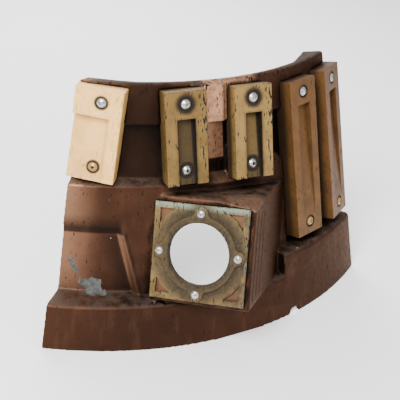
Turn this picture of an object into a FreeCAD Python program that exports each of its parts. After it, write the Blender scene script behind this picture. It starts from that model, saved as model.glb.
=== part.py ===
# Curved casing panel: a segment of a hollow conical casing standing on its base
# flange, with five screwed-on slotted blocks under the rim and a square porthole
# bezel on a wedge-shaped box. Millimetres, +Z up, front towards -Y.
import os
import math
import FreeCAD
import Part

V = FreeCAD.Vector
os.makedirs("parts", exist_ok=True)

# ---- casing moulding -------------------------------------------------------
HEIGHT = 368.0            # floor to rim
RIM_R = 397.5             # outer radius of the cone at the rim
CONE_LEAN = 13.5          # how far the wall leans back, degrees
WALL = 5.5                # skin thickness
FLANGE_R = 514.0          # outer radius of the base flange at the floor
FLANGE_OFF = (-8.0, 3.5)  # the flange is struck from a centre beside the cone's
FLANGE_H = 67.0           # top of the low part of the base flange
TALL_H = 100.0            # top of its tall part
TALL_FROM = 10.3          # angle where the tall part starts
POCKET_DEEP = 20.0        # blind pocket in that end of the tall part
POCKET_SOLID = 3.2        # degrees of solid moulding round the pocket
FLANGE_LEAN = 13.2        # lean of the flange's front face
END_X = 285.0             # half the chord between the end faces at the floor
END_Y = 424.4             # how far in front of the axis the end faces start
END_LEFT = 45.1           # plan angle of the left end face
END_RIGHT = 41.2          # plan angle of the right end face
END_WALL = 6.0            # thickness of the closed end walls
END_DEPTH = 34.0          # how far the end walls reach inwards
RIM_LAND = 12.0           # width of the flat top of the rim
RIM_EASE = 2.5            # eased outer edge of the rim
GROOVE_D = 13.0           # depth of the groove under the collar band
GROOVE_Z0 = 230.0         # floor ledge of the groove, which slopes outwards
GROOVE_Z1 = 311.0         # lower edge of the collar band
BAY_FROM = 13.1           # angle where the recessed bay for the slats starts
BAY_TOP = 335.0           # top of that bay
SHOULDER_FROM = 6.8       # the ledge steps up beside the bay
SHOULDER_Z = 249.0        # height of that step
PANEL_D = 8.5             # depth of the sunk panel at the lower left
PANEL_TOP = 157.0         # foot of its sloping top step
PANEL_STEP = 14.0         # height of the sloping step
PANEL_EDGE = (-22.4, -18.7)  # angle of its slanting right edge at top and bottom
PANEL_BEVEL = 8.0         # width of the sloping face along that edge
PAD_FROM = -9.2           # raised pad on the collar band
PAD_TO = -2.1
PAD_T = 4.0
CHIP_AT = 11.5            # small break-out in the bottom edge
CHIP_W = 20.0
CHIP_H = 9.0

# ---- blocks ----------------------------------------------------------------
FACE_R = 421.2            # radius of the top edge of every block's face
SHORT_L = 134.0           # length of the short blocks
CUT_L = 133.0             # length of the block beside the end face
LONG_L = 246.0            # length of the long slats
SHORT_Z = 365.0           # height of the top edge of the short blocks
LONG_Z = 353.5            # height of the top edge of the slats
SHORT_W = 60.0
LONG_W = 57.0
SHORT_T = 28.0
LONG_T = 30.0
CUT_LEFT = 40.0           # the first block reaches the end face on this side
CUT_RIGHT = 27.5
BLOCK_EASE = 0.8          # eased edges of the castings
SLOT_W = 27.0
SLOT_FROM = 39.0          # from the block's top edge to the slot
SLOT_D0 = 14.0            # slot depth at its upper end
SLOT_D1 = 6.0             # slot depth at the block's lower end
CUT_STRIP = 17.0          # width of the raised strip on the first block
CUT_SLOT_D1 = 2.0         # and its slot depth at the lower end
LONG_SLOT_D = 9.0
LONG_SLOT_END = 218.0     # where the slat's slot runs out at the face
TOP_SCREW = 18.0          # screw axis below the top edge
LOW_SCREW = 20.0          # screw axis above the lower edge
# angle round the panel, turn of the face, lean back, tilt in its own plane
BLOCKS = (
    ("block_1", -26.5, -12.6, 5.5, -3.0),
    ("block_2", -11.45, -1.6, 12.0, 3.7),
    ("block_3", 3.0, -8.0, 17.0, 0.1),
    ("slat_4", 17.0, -2.9, 13.4, 1.6),
    ("slat_5", 28.5, 3.0, 13.7, -0.9),
)

# ---- block fixings: M8 button heads, washers and nuts ----------------------
M8_R = 4.0
M8_HEAD_R = 7.0
M8_HEAD_H = 4.4
M8_SOCKET = 5.0
M8_HOLE = 0.25            # clearance round the shank
SPOT_R = 8.2              # spot-face under each head
SPOT_D = 1.5
BOSS_R = 11.5
BOSS_L = 16.0             # from the block's back to the nut seat
M8_NUT_AF = 13.0
M8_NUT_H = 6.8
M8_WASHER_R = 8.0
M8_WASHER_T = 1.6
M8_LONG = 55.0            # heads on the face of a block
M8_SHORT = 50.0           # heads on the slot floor

# ---- porthole box and bezel ------------------------------------------------
BOX_AT = (-10.0, 501.0, 151.5)   # angle, radius, height of the porthole axis
BOX_TURN = -49.4          # turn of the box's front face
BOX_LEAN = 21.8
BOX_TILT = 7.9
BOX_LEFT = 70.5
BOX_RIGHT = 77.0
BOX_TOP = 79.0
BOX_BOTTOM = 74.5
BOX_DEEP = 175.0
BOX_RISE = 0.17           # the box runs back slightly uphill
BOX_SPLAY = 0.04
BOX_EASE = 2.0
TRAY_D = 2.5              # the bezel lies in a shallow tray
TRAY_GAP = 0.5
BOX_FRONT_WALL = 5.0
BEZEL_SIDE = 138.5
PLATE_T = 5.0
PORT_R = 44.2             # clear way through the porthole
PORT_EASE = 1.5           # eased mouth of the ring
WINDOW_CORNER = 60.5      # outer corner of the corner windows
WINDOW_LEG = 22.0
RING_T = 4.0
RING_R = 55.0
LUG_R = 10.0
PORT_SCREW_R = 57.5
FLUTE_W = 7.0             # flutes down the box's right side
FLUTE_D = 2.0
FLUTES = (16.0, 34.0, 52.0)
FLUTE_UP = 58.0
FLUTE_DOWN = 62.0

# ---- bezel fixings: M6 cross-recess pan heads ------------------------------
M6_R = 3.0
M6_HEAD_R = 6.0
M6_HEAD_H = 4.2
M6_L = 25.0
M6_HOLE = 0.25
M6_NUT_AF = 10.0
M6_NUT_H = 5.0
M6_WASHER_R = 6.2
M6_WASHER_T = 1.6
THREAD_GAP = 0.05         # nuts and shanks are drawn without threads

SLOPE = math.tan(math.radians(CONE_LEAN))
NORMAL = 1.0 / math.cos(math.radians(CONE_LEAN))
CORE_R = 300.0            # inside limit of the solids the casing is cut from


def polar(r, deg, z):
    a = math.radians(deg)
    return V(r * math.sin(a), -r * math.cos(a), z)


def cone_r(z):
    return RIM_R + SLOPE * (HEIGHT - z)


def flange_r(z):
    return FLANGE_R - math.tan(math.radians(FLANGE_LEAN)) * z


def sector(points, a0, a1, centre=(0.0, 0.0)):
    """A (radius, height) outline swept round the axis from angle a0 to a1."""
    wire = Part.makePolygon([V(r, 0, z) for r, z in points + points[:1]])
    face = Part.Face(wire)
    face.rotate(V(0, 0, 0), V(0, 0, 1), a0 - 90.0)
    solid = face.revolve(V(0, 0, 0), V(0, 0, 1), a1 - a0)
    solid.translate(V(centre[0], centre[1], 0))
    return solid


def prism(points, z0, z1):
    """A plan outline drawn upwards."""
    wire = Part.makePolygon([V(x, y, z0) for x, y in points + points[:1]])
    return Part.Face(wire).extrude(V(0, 0, z1 - z0))


def radial_prism(points, deg, r0, r1):
    """An outline in (sideways, height) drawn outwards at one angle."""
    wire = Part.makePolygon([V(x, -r0, z) for x, z in points + points[:1]])
    solid = Part.Face(wire).extrude(V(0, r0 - r1, 0))
    solid.rotate(V(0, 0, 0), V(0, 0, 1), deg)
    return solid


def pose(origin, turn, lean, tilt):
    """Local x runs along the face, y up it and z out of it."""
    a = math.radians(turn)
    b = math.radians(lean)
    c = math.radians(tilt)
    along = V(math.cos(a), math.sin(a), 0)
    up = V(-math.sin(a) * math.sin(b), math.cos(a) * math.sin(b), math.cos(b))
    out = V(math.sin(a) * math.cos(b), -math.cos(a) * math.cos(b), math.sin(b))
    x = along * math.cos(c) + up * math.sin(c)
    y = up * math.cos(c) - along * math.sin(c)
    m = FreeCAD.Matrix(x.x, y.x, out.x, origin.x, x.y, y.y, out.y, origin.y,
                       x.z, y.z, out.z, origin.z, 0, 0, 0, 1)
    return FreeCAD.Placement(m)


def placed(shape, where):
    out = shape.copy()
    out.Placement = where.multiply(out.Placement)
    return out


def joined(shapes):
    out = shapes[0]
    for s in shapes[1:]:
        out = out.fuse(s)
    return out


# ---- casing ----------------------------------------------------------------
def end_limits(inset):
    """Everything between the two end faces, drawn in by the inset."""
    a = math.radians(END_LEFT)
    b = math.radians(END_RIGHT)
    cx = FLANGE_OFF[0]
    lx = cx - END_X + inset * math.cos(a)
    ly = -END_Y + inset * -math.sin(a)
    rx = cx + END_X - inset * math.cos(b)
    ry = -END_Y + inset * -math.sin(b)
    far = 320.0
    deep = 330.0
    points = [
        (lx - far * math.sin(a), ly - far * math.cos(a)),
        (rx + far * math.sin(b), ry - far * math.cos(b)),
        (rx - deep * math.sin(b), ry + deep * math.cos(b)),
        (lx + deep * math.sin(a), ly + deep * math.cos(a)),
    ]
    return prism(points, -5.0, HEIGHT + 5.0)


def base_flange(inset):
    """Low base flange and the taller run of it at the right-hand end."""
    z0 = 0.0 if inset == 0 else -1.0
    out = []
    for top, start in ((FLANGE_H, -45.0), (TALL_H, TALL_FROM)):
        z = top - inset
        d = inset * NORMAL
        ease = 4.0
        outline = [(CORE_R, z0), (flange_r(z0) - d, z0), (flange_r(z - ease) - d, z - ease),
                   (flange_r(z) - d - 1.2, z - 1.2), (flange_r(z) - d - ease, z), (CORE_R, z)]
        first = start if start < 0 else start + math.degrees(inset / FLANGE_R)
        out.append(sector(outline, first, 45.0, FLANGE_OFF))
    return joined(out)


def main_cone(inset):
    """Leaning wall; the top of the rim is square to it."""
    d = inset * NORMAL
    z0 = 0.0 if inset == 0 else -1.0
    z1 = HEIGHT - inset
    e = RIM_EASE
    fall = SLOPE * (cone_r(z1) - d - e - CORE_R)
    outline = [(CORE_R, z0), (cone_r(z0) - d, z0), (cone_r(z1 - e) - d, z1 - e),
               (cone_r(z1) - d - 0.3 * e, z1 - 0.3 * e), (cone_r(z1) - d - e, z1), (CORE_R, z1 - fall)]
    return sector(outline, -45.0, 45.0)


def groove(inset):
    """Groove under the collar band; its floor follows the cone."""
    z0 = GROOVE_Z0 - inset
    z1 = GROOVE_Z1 + inset
    d = GROOVE_D + inset * NORMAL
    outline = [(cone_r(z0) - d, z0 + 2.0), (cone_r(z1) - d, z1), (600.0, z1 - 3.0), (600.0, z0 - 5.0),
               (cone_r(z0) - d + GROOVE_D + 2.0, z0 - 5.0)]
    whole = sector(outline, -45.0, BAY_FROM + 1.0)
    z2 = SHOULDER_Z - inset
    side = math.degrees(inset / cone_r(z2))
    step = sector([(cone_r(z2) - 40.0, z0 - 40.0), (600.0, z0 - 40.0), (600.0, z2), (cone_r(z2) - 40.0, z2)],
                  SHOULDER_FROM + side, BAY_FROM + 2.0)
    edge = math.radians(BAY_FROM - SHOULDER_FROM) * cone_r(z2)
    corner = radial_prism([(edge - 17.0, z2 + 1.0), (edge + 30.0, z2 + 1.0), (edge + 30.0, z2 - 45.0)],
                          SHOULDER_FROM, 350.0, 600.0)
    return whole.cut(step.cut(corner))


def slat_bay(inset):
    """Recessed bay behind the two long slats."""
    z0 = TALL_H - inset
    z1 = BAY_TOP + inset
    d = GROOVE_D + inset * NORMAL
    outline = [(cone_r(z0) - d, z0), (cone_r(z1) - d, z1), (600.0, z1), (600.0, z0)]
    return sector(outline, BAY_FROM - math.degrees(inset / cone_r(z0)), 45.0)


def sunk_panel(inset):
    """Shallow sunk panel at the lower left with a sloping top and right edge."""
    d = PANEL_D + inset * NORMAL
    z0 = FLANGE_H - inset
    z1 = PANEL_TOP + inset
    z2 = z1 + PANEL_STEP
    outline = [(cone_r(z0) - d - 2.0, z0), (cone_r(z1) - d + 3.0, z1), (cone_r(z2) + 1.0, z2 + 1.0),
               (600.0, z2 + 1.0), (600.0, z0)]
    field = sector(outline, -45.0, PANEL_EDGE[1] + 6.0)
    top = PANEL_TOP + PANEL_STEP
    high = polar(cone_r(top), PANEL_EDGE[0], top)
    low = polar(cone_r(FLANGE_H), PANEL_EDGE[1], FLANGE_H)
    turn = math.degrees(PANEL_BEVEL / cone_r(top))
    foot = polar(cone_r(top) - PANEL_D, PANEL_EDGE[0] - turn, top)
    return field.cut(beyond(high, low, foot, inset))


def beyond(a, b, c, shift):
    """A large block on the right-hand side of the plane through three points."""
    n = (b - a).cross(c - a).normalize()
    if n.x < 0:
        n = n * -1.0
    slab = Part.makeBox(900.0, 900.0, 400.0, V(-450.0, -450.0, 0.0))
    slab.Placement = FreeCAD.Placement(a + n * shift, FreeCAD.Rotation(V(0, 0, 1), n))
    return slab


def box_pose():
    return pose(polar(BOX_AT[1], BOX_AT[0], BOX_AT[2]), BOX_TURN, BOX_LEAN, BOX_TILT)


def box_prism(inset, start, deep):
    x0 = -BOX_LEFT + inset
    x1 = BOX_RIGHT - inset
    y0 = -BOX_BOTTOM + inset
    y1 = BOX_TOP - inset
    z0 = -PLATE_T + TRAY_D - start
    wire = Part.makePolygon([V(x0, y0, z0), V(x1, y0, z0), V(x1, y1, z0), V(x0, y1, z0), V(x0, y0, z0)])
    run = V(BOX_SPLAY, BOX_RISE, -1.0) * deep
    return Part.Face(wire).extrude(run)


def porthole_box():
    """Wedge-shaped box that grows out of the cone wall."""
    body = box_prism(0.0, 0.0, BOX_DEEP)
    front = max(body.Faces, key=lambda f: f.CenterOfMass.z)
    body = body.makeChamfer(BOX_EASE, front.Edges)
    flutes = []
    for back in FLUTES:
        z = -PLATE_T + TRAY_D - back
        x = BOX_RIGHT + BOX_SPLAY * back
        y = BOX_RISE * back
        low = V(x + FLUTE_W * 0.5 - FLUTE_D, y - FLUTE_DOWN, z)
        rod = Part.makeCylinder(FLUTE_W * 0.5, FLUTE_UP + FLUTE_DOWN, low, V(0, 1, 0))
        ball0 = Part.makeSphere(FLUTE_W * 0.5, low)
        ball1 = Part.makeSphere(FLUTE_W * 0.5, low + V(0, FLUTE_UP + FLUTE_DOWN, 0))
        flutes.append(rod.fuse(ball0).fuse(ball1))
    body = body.cut(Part.makeCompound(flutes))
    body = placed(body, box_pose())
    z1 = HEIGHT - 20.0
    skin = sector([(cone_r(0.0) - WALL - 6.0, 0.0), (700.0, 0.0), (700.0, z1), (cone_r(z1) - WALL - 6.0, z1)],
                  -45.0, 45.0)
    return body.common(skin)


def block_size(name):
    if name.startswith("slat"):
        return LONG_W / 2, LONG_W / 2, LONG_L, LONG_T
    if name == "block_1":
        return CUT_LEFT, CUT_RIGHT, CUT_L, SHORT_T
    return SHORT_W / 2, SHORT_W / 2, SHORT_L, SHORT_T


def block_pose(row):
    name, at, turn, lean, tilt = row
    z = LONG_Z if name.startswith("slat") else SHORT_Z
    return pose(polar(FACE_R, at, z), at + turn, lean, tilt)


def block_space(row, inset):
    """The room a block takes up in the casing, grown by the inset."""
    left, right, length, thick = block_size(row[0])
    box = Part.makeBox(left + right + 2 * inset, length + 2 * inset, thick + inset + 30.0,
                       V(-left - inset, -length - inset, -thick - inset))
    return placed(box, block_pose(row))


def block_pads(row):
    """Two flat pads on the casing that carry the ends of a block."""
    left, right, length, thick = block_size(row[0])
    rim = 3.0
    out = []
    for y0, y1 in ((-length + rim, -length + 46.0), (-48.0, -rim)):
        pad = Part.makeBox(left + right - 2 * rim, y1 - y0, 22.0, V(-left + rim, y0, -thick - 22.0))
        out.append(placed(pad, block_pose(row)))
    return out


def screw_rows(row):
    """(x, y, seat height, length name) of the two screws of a block."""
    left, right, length, thick = block_size(row[0])
    x = -2.0 if row[0] == "block_1" else 0.0
    top = (x, -TOP_SCREW, -SPOT_D, M8_LONG)
    if row[0].startswith("slat"):
        return [top, (x, -length + LOW_SCREW, -SPOT_D, M8_LONG)]
    floor = -slot_depth(length, length - LOW_SCREW)
    return [top, (2 * x, -length + LOW_SCREW, floor, M8_SHORT)]


def slot_depth(length, down):
    part = (down - SLOT_FROM) / (length - SLOT_FROM)
    end = CUT_SLOT_D1 if length == CUT_L else SLOT_D1
    return SLOT_D0 + (end - SLOT_D0) * part


def nut_bosses(row):
    thick = block_size(row[0])[3]
    out = []
    for x, y, seat, length in screw_rows(row):
        rod = Part.makeCylinder(BOSS_R, BOSS_L, V(x, y, -thick - BOSS_L))
        out.append(placed(rod, block_pose(row)))
    return out


def screw_ways(row, radius):
    thick = block_size(row[0])[3]
    out = []
    for x, y, seat, length in screw_rows(row):
        rod = Part.makeCylinder(radius, thick + BOSS_L + 20.0, V(x, y, -thick - BOSS_L - 10.0))
        out.append(placed(rod, block_pose(row)))
    return out


def nut_rooms(row):
    """Clear room for washer, nut and spanner behind each boss."""
    thick = block_size(row[0])[3]
    out = []
    for x, y, seat, length in screw_rows(row):
        rod = Part.makeCylinder(BOSS_R, 30.0, V(x, y, -thick - BOSS_L - 30.0))
        out.append(placed(rod, block_pose(row)))
    return out


def casing_solid(inset, box):
    body = joined([main_cone(inset), base_flange(inset), box])
    body = body.common(end_limits(END_WALL if inset else 0.0))
    for cutter in (groove(inset), slat_bay(inset), sunk_panel(inset)):
        body = body.cut(cutter)
    if inset == 0:
        pad = sector([(cone_r(GROOVE_Z1) - 8.0, GROOVE_Z1), (cone_r(GROOVE_Z1) + PAD_T - 1.0, GROOVE_Z1),
                      (cone_r(GROOVE_Z1 + 2) + PAD_T, GROOVE_Z1 + 2.0), (cone_r(HEIGHT - 5) + PAD_T, HEIGHT - 5.0),
                      (cone_r(HEIGHT) - 1.0, HEIGHT - 1.0), (cone_r(HEIGHT) - 8.0, HEIGHT - 1.0)],
                     PAD_FROM, PAD_TO)
        body = body.fuse(pad)
        for row in BLOCKS:
            for pad in block_pads(row):
                body = body.fuse(pad.common(end_limits(0.0)))
    for row in BLOCKS:
        body = body.cut(block_space(row, inset))
    return body


def inner_way():
    """Room inside the panel: everything behind the end walls and the rim land."""
    z0 = -2.0
    z1 = HEIGHT + 2.0
    deep = sector([(150.0, z0), (cone_r(z0) - END_DEPTH, z0), (cone_r(z1) - END_DEPTH, z1), (150.0, z1)],
                  -50.0, 50.0)
    r0 = RIM_R - RIM_LAND
    r1 = RIM_R - END_DEPTH
    a, b = 20.0, 33.0
    arc = Part.Arc(polar(r0, -a, 330.0), polar(r0, 0.0, 330.0), polar(r0, a, 330.0)).toShape()
    right = Part.makeLine(polar(r0, a, 330.0), polar(r1, b, 330.0))
    back = Part.makeLine(polar(r1, b, 330.0), polar(200.0, b, 330.0))
    across = Part.makeLine(polar(200.0, b, 330.0), polar(200.0, -b, 330.0))
    up = Part.makeLine(polar(200.0, -b, 330.0), polar(r1, -b, 330.0))
    left = Part.makeLine(polar(r1, -b, 330.0), polar(r0, -a, 330.0))
    lid = Part.Face(Part.Wire([arc, right, back, across, up, left])).extrude(V(0, 0, 60.0))
    return deep.fuse(lid)


def casing():
    outer = casing_solid(0.0, porthole_box())
    hollow = placed(box_prism(WALL, BOX_FRONT_WALL + TRAY_D, BOX_DEEP), box_pose())
    cavity = casing_solid(WALL, hollow)
    body = outer.cut(cavity)
    lump = sector([(cone_r(TALL_H) - WALL, FLANGE_H - 7.0), (FLANGE_R, FLANGE_H - 7.0),
                   (FLANGE_R, TALL_H + 5.0), (cone_r(TALL_H) - WALL, TALL_H + 5.0)],
                  TALL_FROM - 1.0, TALL_FROM + POCKET_SOLID)
    body = body.fuse(lump.common(outer))
    bosses = []
    for row in BLOCKS:
        bosses += nut_bosses(row)
    way = inner_way().cut(Part.makeCompound(bosses))
    body = body.cut(way)
    for boss in bosses:
        body = body.fuse(boss)
    where = box_pose()
    half = BEZEL_SIDE / 2 + TRAY_GAP
    tray = Part.makeBox(2 * half, 2 * half, TRAY_D + 5.0, V(-half, -half, -PLATE_T))
    port = Part.makeCylinder(PORT_R, 40.0, V(0, 0, -30.0))
    cutters = [placed(tray, where), placed(port, where)]
    for x, y in port_screws():
        cutters.append(placed(Part.makeCylinder(M6_R + M6_HOLE, 40.0, V(x, y, -30.0)), where))
    for row in BLOCKS:
        cutters += screw_ways(row, M8_R + M8_HOLE)
        cutters += nut_rooms(row)
    side = TALL_FROM
    r = flange_r(TALL_H)
    window = radial_prism([(-6.0, FLANGE_H + 3.0), (POCKET_DEEP, FLANGE_H + 3.0), (POCKET_DEEP, TALL_H - 4.0),
                           (-6.0, TALL_H - 4.0)], side, cone_r(TALL_H) + 4.0, r - 3.5)
    chip = radial_prism([(-CHIP_W / 2, -1.0), (CHIP_W / 2, -1.0), (CHIP_W / 2 - 2.0, CHIP_H),
                         (-CHIP_W / 2 + 4.0, CHIP_H - 2.0)], CHIP_AT, FLANGE_R - 30.0, FLANGE_R + 10.0)
    cutters += [window, chip]
    body = body.cut(Part.makeCompound([window, chip]))
    for cutter in cutters[:-2]:
        body = body.cut(cutter)
    solids = sorted(body.Solids, key=lambda s: -s.Volume)
    return solids[0]


# ---- blocks ----------------------------------------------------------------
def block(row):
    left, right, length, thick = block_size(row[0])
    body = Part.makeBox(left + right, length, thick, V(-left, -length, -thick))
    edges = [e for e in body.Edges if max(v.Point.z for v in e.Vertexes) > -1.0]
    body = body.makeChamfer(BLOCK_EASE, edges)
    if row[0].startswith("slat"):
        y0, y1 = -SLOT_FROM + 2.0, -LONG_SLOT_END
        side = [(y0, 5.0), (y0, -LONG_SLOT_D), (y1, 0.0), (y1, 5.0)]
        x0, x1 = -SLOT_W / 2, SLOT_W / 2
    else:
        y0, y1 = -SLOT_FROM, -length - 5.0
        side = [(y0, 5.0), (y0, -SLOT_D0), (y1, -slot_depth(length, -y1)), (y1, 5.0)]
        x0, x1 = -SLOT_W / 2, SLOT_W / 2
        if row[0] == "block_1":
            x0, x1 = -left - 5.0, right - CUT_STRIP
    wire = Part.makePolygon([V(x0, y, z) for y, z in side + side[:1]])
    body = body.cut(Part.Face(wire).extrude(V(x1 - x0, 0, 0)))
    for x, y, seat, size in screw_rows(row):
        body = body.cut(Part.makeCylinder(M8_R + M8_HOLE, thick + 10.0, V(x, y, -thick - 5.0)))
        body = body.cut(Part.makeCylinder(SPOT_R, 10.0, V(x, y, seat)))
    return placed(body, block_pose(row))


# ---- fixings ---------------------------------------------------------------
def hexagon(across, height, z):
    r = across / math.sqrt(3.0)
    pts = [V(r * math.cos(math.radians(60 * i)), r * math.sin(math.radians(60 * i)), z) for i in range(7)]
    return Part.Face(Part.makePolygon(pts)).extrude(V(0, 0, height))


def dome(radius, height, crown):
    """Turned head: short straight skirt and a rounded crown."""
    skirt = height - crown
    rise = (radius * radius + crown * crown) / (2 * crown)
    a = math.asin(radius / rise) / 2
    mid = V(rise * math.sin(a), 0, skirt + crown - rise + rise * math.cos(a))
    arc = Part.Arc(V(radius, 0, skirt), mid, V(0, 0, height)).toShape()
    lines = [Part.makeLine(V(0, 0, height), V(0, 0, 0)), Part.makeLine(V(0, 0, 0), V(radius, 0, 0)),
             Part.makeLine(V(radius, 0, 0), V(radius, 0, skirt))]
    return Part.Face(Part.Wire(lines + [arc])).revolve(V(0, 0, 0), V(0, 0, 1), 360)


def button_screw(length):
    head = dome(M8_HEAD_R, M8_HEAD_H, 3.4)
    shank = Part.makeCylinder(M8_R - THREAD_GAP, length, V(0, 0, -length))
    return head.fuse(shank).cut(hexagon(M8_SOCKET, 5.0, M8_HEAD_H - 2.6))


def pan_screw():
    head = dome(M6_HEAD_R, M6_HEAD_H, 2.6)
    shank = Part.makeCylinder(M6_R - THREAD_GAP, M6_L, V(0, 0, -M6_L))
    bar = Part.makeBox(6.2, 1.5, 5.0, V(-3.1, -0.75, M6_HEAD_H - 2.2))
    cross = bar.fuse(Part.makeBox(1.5, 6.2, 5.0, V(-0.75, -3.1, M6_HEAD_H - 2.2)))
    return head.fuse(shank).cut(cross)


def washer(outer, inner, thick):
    return Part.makeCylinder(outer, thick).cut(Part.makeCylinder(inner, thick))


def nut(across, height, bore):
    blank = hexagon(across, height, 0.0)
    turn = Part.makeCone(across * 0.5 + height * 1.6, across * 0.5 - 0.2, height * 1.6 + 0.2)
    blank = blank.common(turn)
    return blank.cut(Part.makeCylinder(bore, height))


def port_screws():
    r = PORT_SCREW_R
    return [(0.0, r), (-r, 0.0), (r, 0.0), (0.0, -r)]


# ---- bezel -----------------------------------------------------------------
def bezel_plate():
    half = BEZEL_SIDE / 2
    body = Part.makeBox(2 * half, 2 * half, PLATE_T, V(-half, -half, -PLATE_T))
    edges = [e for e in body.Edges if min(v.Point.z for v in e.Vertexes) > -1.0]
    body = body.makeChamfer(1.0, edges)
    body = body.cut(Part.makeCylinder(PORT_R, PLATE_T + 2.0, V(0, 0, -PLATE_T - 1.0)))
    c = WINDOW_CORNER
    k = WINDOW_LEG
    for sx in (-1, 1):
        for sy in (-1, 1):
            pts = [V(sx * c, sy * c, -PLATE_T - 1), V(sx * (c - k), sy * c, -PLATE_T - 1),
                   V(sx * (c - 0.42 * k), sy * (c - 0.42 * k), -PLATE_T - 1), V(sx * c, sy * (c - k), -PLATE_T - 1)]
            body = body.cut(Part.Face(Part.makePolygon(pts + pts[:1])).extrude(V(0, 0, PLATE_T + 2)))
    for x, y in port_screws():
        body = body.cut(Part.makeCylinder(M6_R + M6_HOLE, PLATE_T + 2.0, V(x, y, -PLATE_T - 1.0)))
    return placed(body, box_pose())


def bezel_ring():
    body = Part.makeCylinder(RING_R, RING_T)
    for x, y in port_screws():
        body = body.fuse(Part.makeCylinder(LUG_R, RING_T, V(x, y, 0)))
        d = PORT_SCREW_R
        ux, uy = x / d, y / d
        near, far, wide = 46.0, PORT_SCREW_R, 19.0
        pts = [V(ux * near - uy * wide, uy * near + ux * wide, 0), V(ux * far - uy * LUG_R, uy * far + ux * LUG_R, 0),
               V(ux * far + uy * LUG_R, uy * far - ux * LUG_R, 0), V(ux * near + uy * wide, uy * near - ux * wide, 0)]
        web = Part.Face(Part.makePolygon(pts + pts[:1])).extrude(V(0, 0, RING_T))
        body = body.fuse(web)
    body = body.removeSplitter()
    top = max(body.Faces, key=lambda f: f.CenterOfMass.z)
    body = body.makeChamfer(1.2, top.Edges)
    body = body.cut(Part.makeCylinder(PORT_R, RING_T + 2.0, V(0, 0, -1.0)))
    mouth = Part.makeCone(PORT_R, PORT_R + 2 * PORT_EASE, 2 * PORT_EASE, V(0, 0, RING_T - PORT_EASE))
    body = body.cut(mouth)
    for x, y in port_screws():
        body = body.cut(Part.makeCylinder(M6_R + M6_HOLE, RING_T + 2.0, V(x, y, -1.0)))
    return placed(body, box_pose())


# ---- assembly --------------------------------------------------------------
def build():
    nodes = {"casing": [casing()]}
    for row in BLOCKS:
        nodes[row[0]] = [block(row)]
    groups = ("screws_long", "screws_short", "screws_long_brassed", "screw_short_brassed")
    for name in groups + ("block_washers", "block_nuts"):
        nodes[name] = []
    for row in BLOCKS:
        thick = block_size(row[0])[3]
        slat = row[0].startswith("slat")
        where = block_pose(row)
        for i, (x, y, seat, length) in enumerate(screw_rows(row)):
            if i == 0:
                key = "screws_long"
            elif slat:
                key = "screws_long_brassed"
            else:
                key = "screw_short_brassed" if row[0] == "block_1" else "screws_short"
            screw = button_screw(length)
            screw.rotate(V(0, 0, 0), V(0, 0, 1), 17.0 * len(nodes[key]) + 8.0)
            screw.translate(V(x, y, seat))
            nodes[key].append(placed(screw, where))
            under = washer(M8_WASHER_R, M8_R + M8_HOLE, M8_WASHER_T)
            under.translate(V(x, y, -thick - BOSS_L - M8_WASHER_T))
            nodes["block_washers"].append(placed(under, where))
            back = nut(M8_NUT_AF, M8_NUT_H, M8_R)
            back.rotate(V(0, 0, 0), V(1, 0, 0), 180.0)
            back.translate(V(x, y, -thick - BOSS_L - M8_WASHER_T))
            nodes["block_nuts"].append(placed(back, where))
    nodes["bezel_plate"] = [bezel_plate()]
    nodes["bezel_ring"] = [bezel_ring()]
    for name in ("bezel_screws", "bezel_washers", "bezel_nuts"):
        nodes[name] = []
    seat = -PLATE_T - BOX_FRONT_WALL
    for i, (x, y) in enumerate(port_screws()):
        screw = pan_screw()
        screw.rotate(V(0, 0, 0), V(0, 0, 1), (20.0, -38.0, 5.0, 62.0)[i])
        screw.translate(V(x, y, RING_T))
        nodes["bezel_screws"].append(placed(screw, box_pose()))
        under = washer(M6_WASHER_R, M6_R + M6_HOLE, M6_WASHER_T)
        under.translate(V(x, y, seat - M6_WASHER_T))
        nodes["bezel_washers"].append(placed(under, box_pose()))
        back = nut(M6_NUT_AF, M6_NUT_H, M6_R)
        back.rotate(V(0, 0, 0), V(1, 0, 0), 180.0)
        back.translate(V(x, y, seat - M6_WASHER_T))
        nodes["bezel_nuts"].append(placed(back, box_pose()))
    return nodes


NODES = build()
EVERYTHING = Part.makeCompound([s for shapes in NODES.values() for s in shapes])
BOX = EVERYTHING.optimalBoundingBox(True, False)
SHIFT = V(-(BOX.XMin + BOX.XMax) / 2, -(BOX.YMin + BOX.YMax) / 2, -BOX.ZMin)
for name, shapes in NODES.items():
    shape = shapes[0] if len(shapes) == 1 else Part.makeCompound(shapes)
    shape = shape.copy()
    shape.translate(SHIFT)
    shape.exportStep("parts/" + name + ".step")
    print(name, len(shape.Solids), round(shape.Volume / 1000.0, 1), shape.isValid())
print("shift", SHIFT, "size", BOX.XLength, BOX.YLength, BOX.ZLength)
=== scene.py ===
import math
import bpy
import numpy as np
from mathutils import Matrix, Vector, noise
from mathutils.bvhtree import BVHTree
from mathutils.kdtree import KDTree


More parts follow.
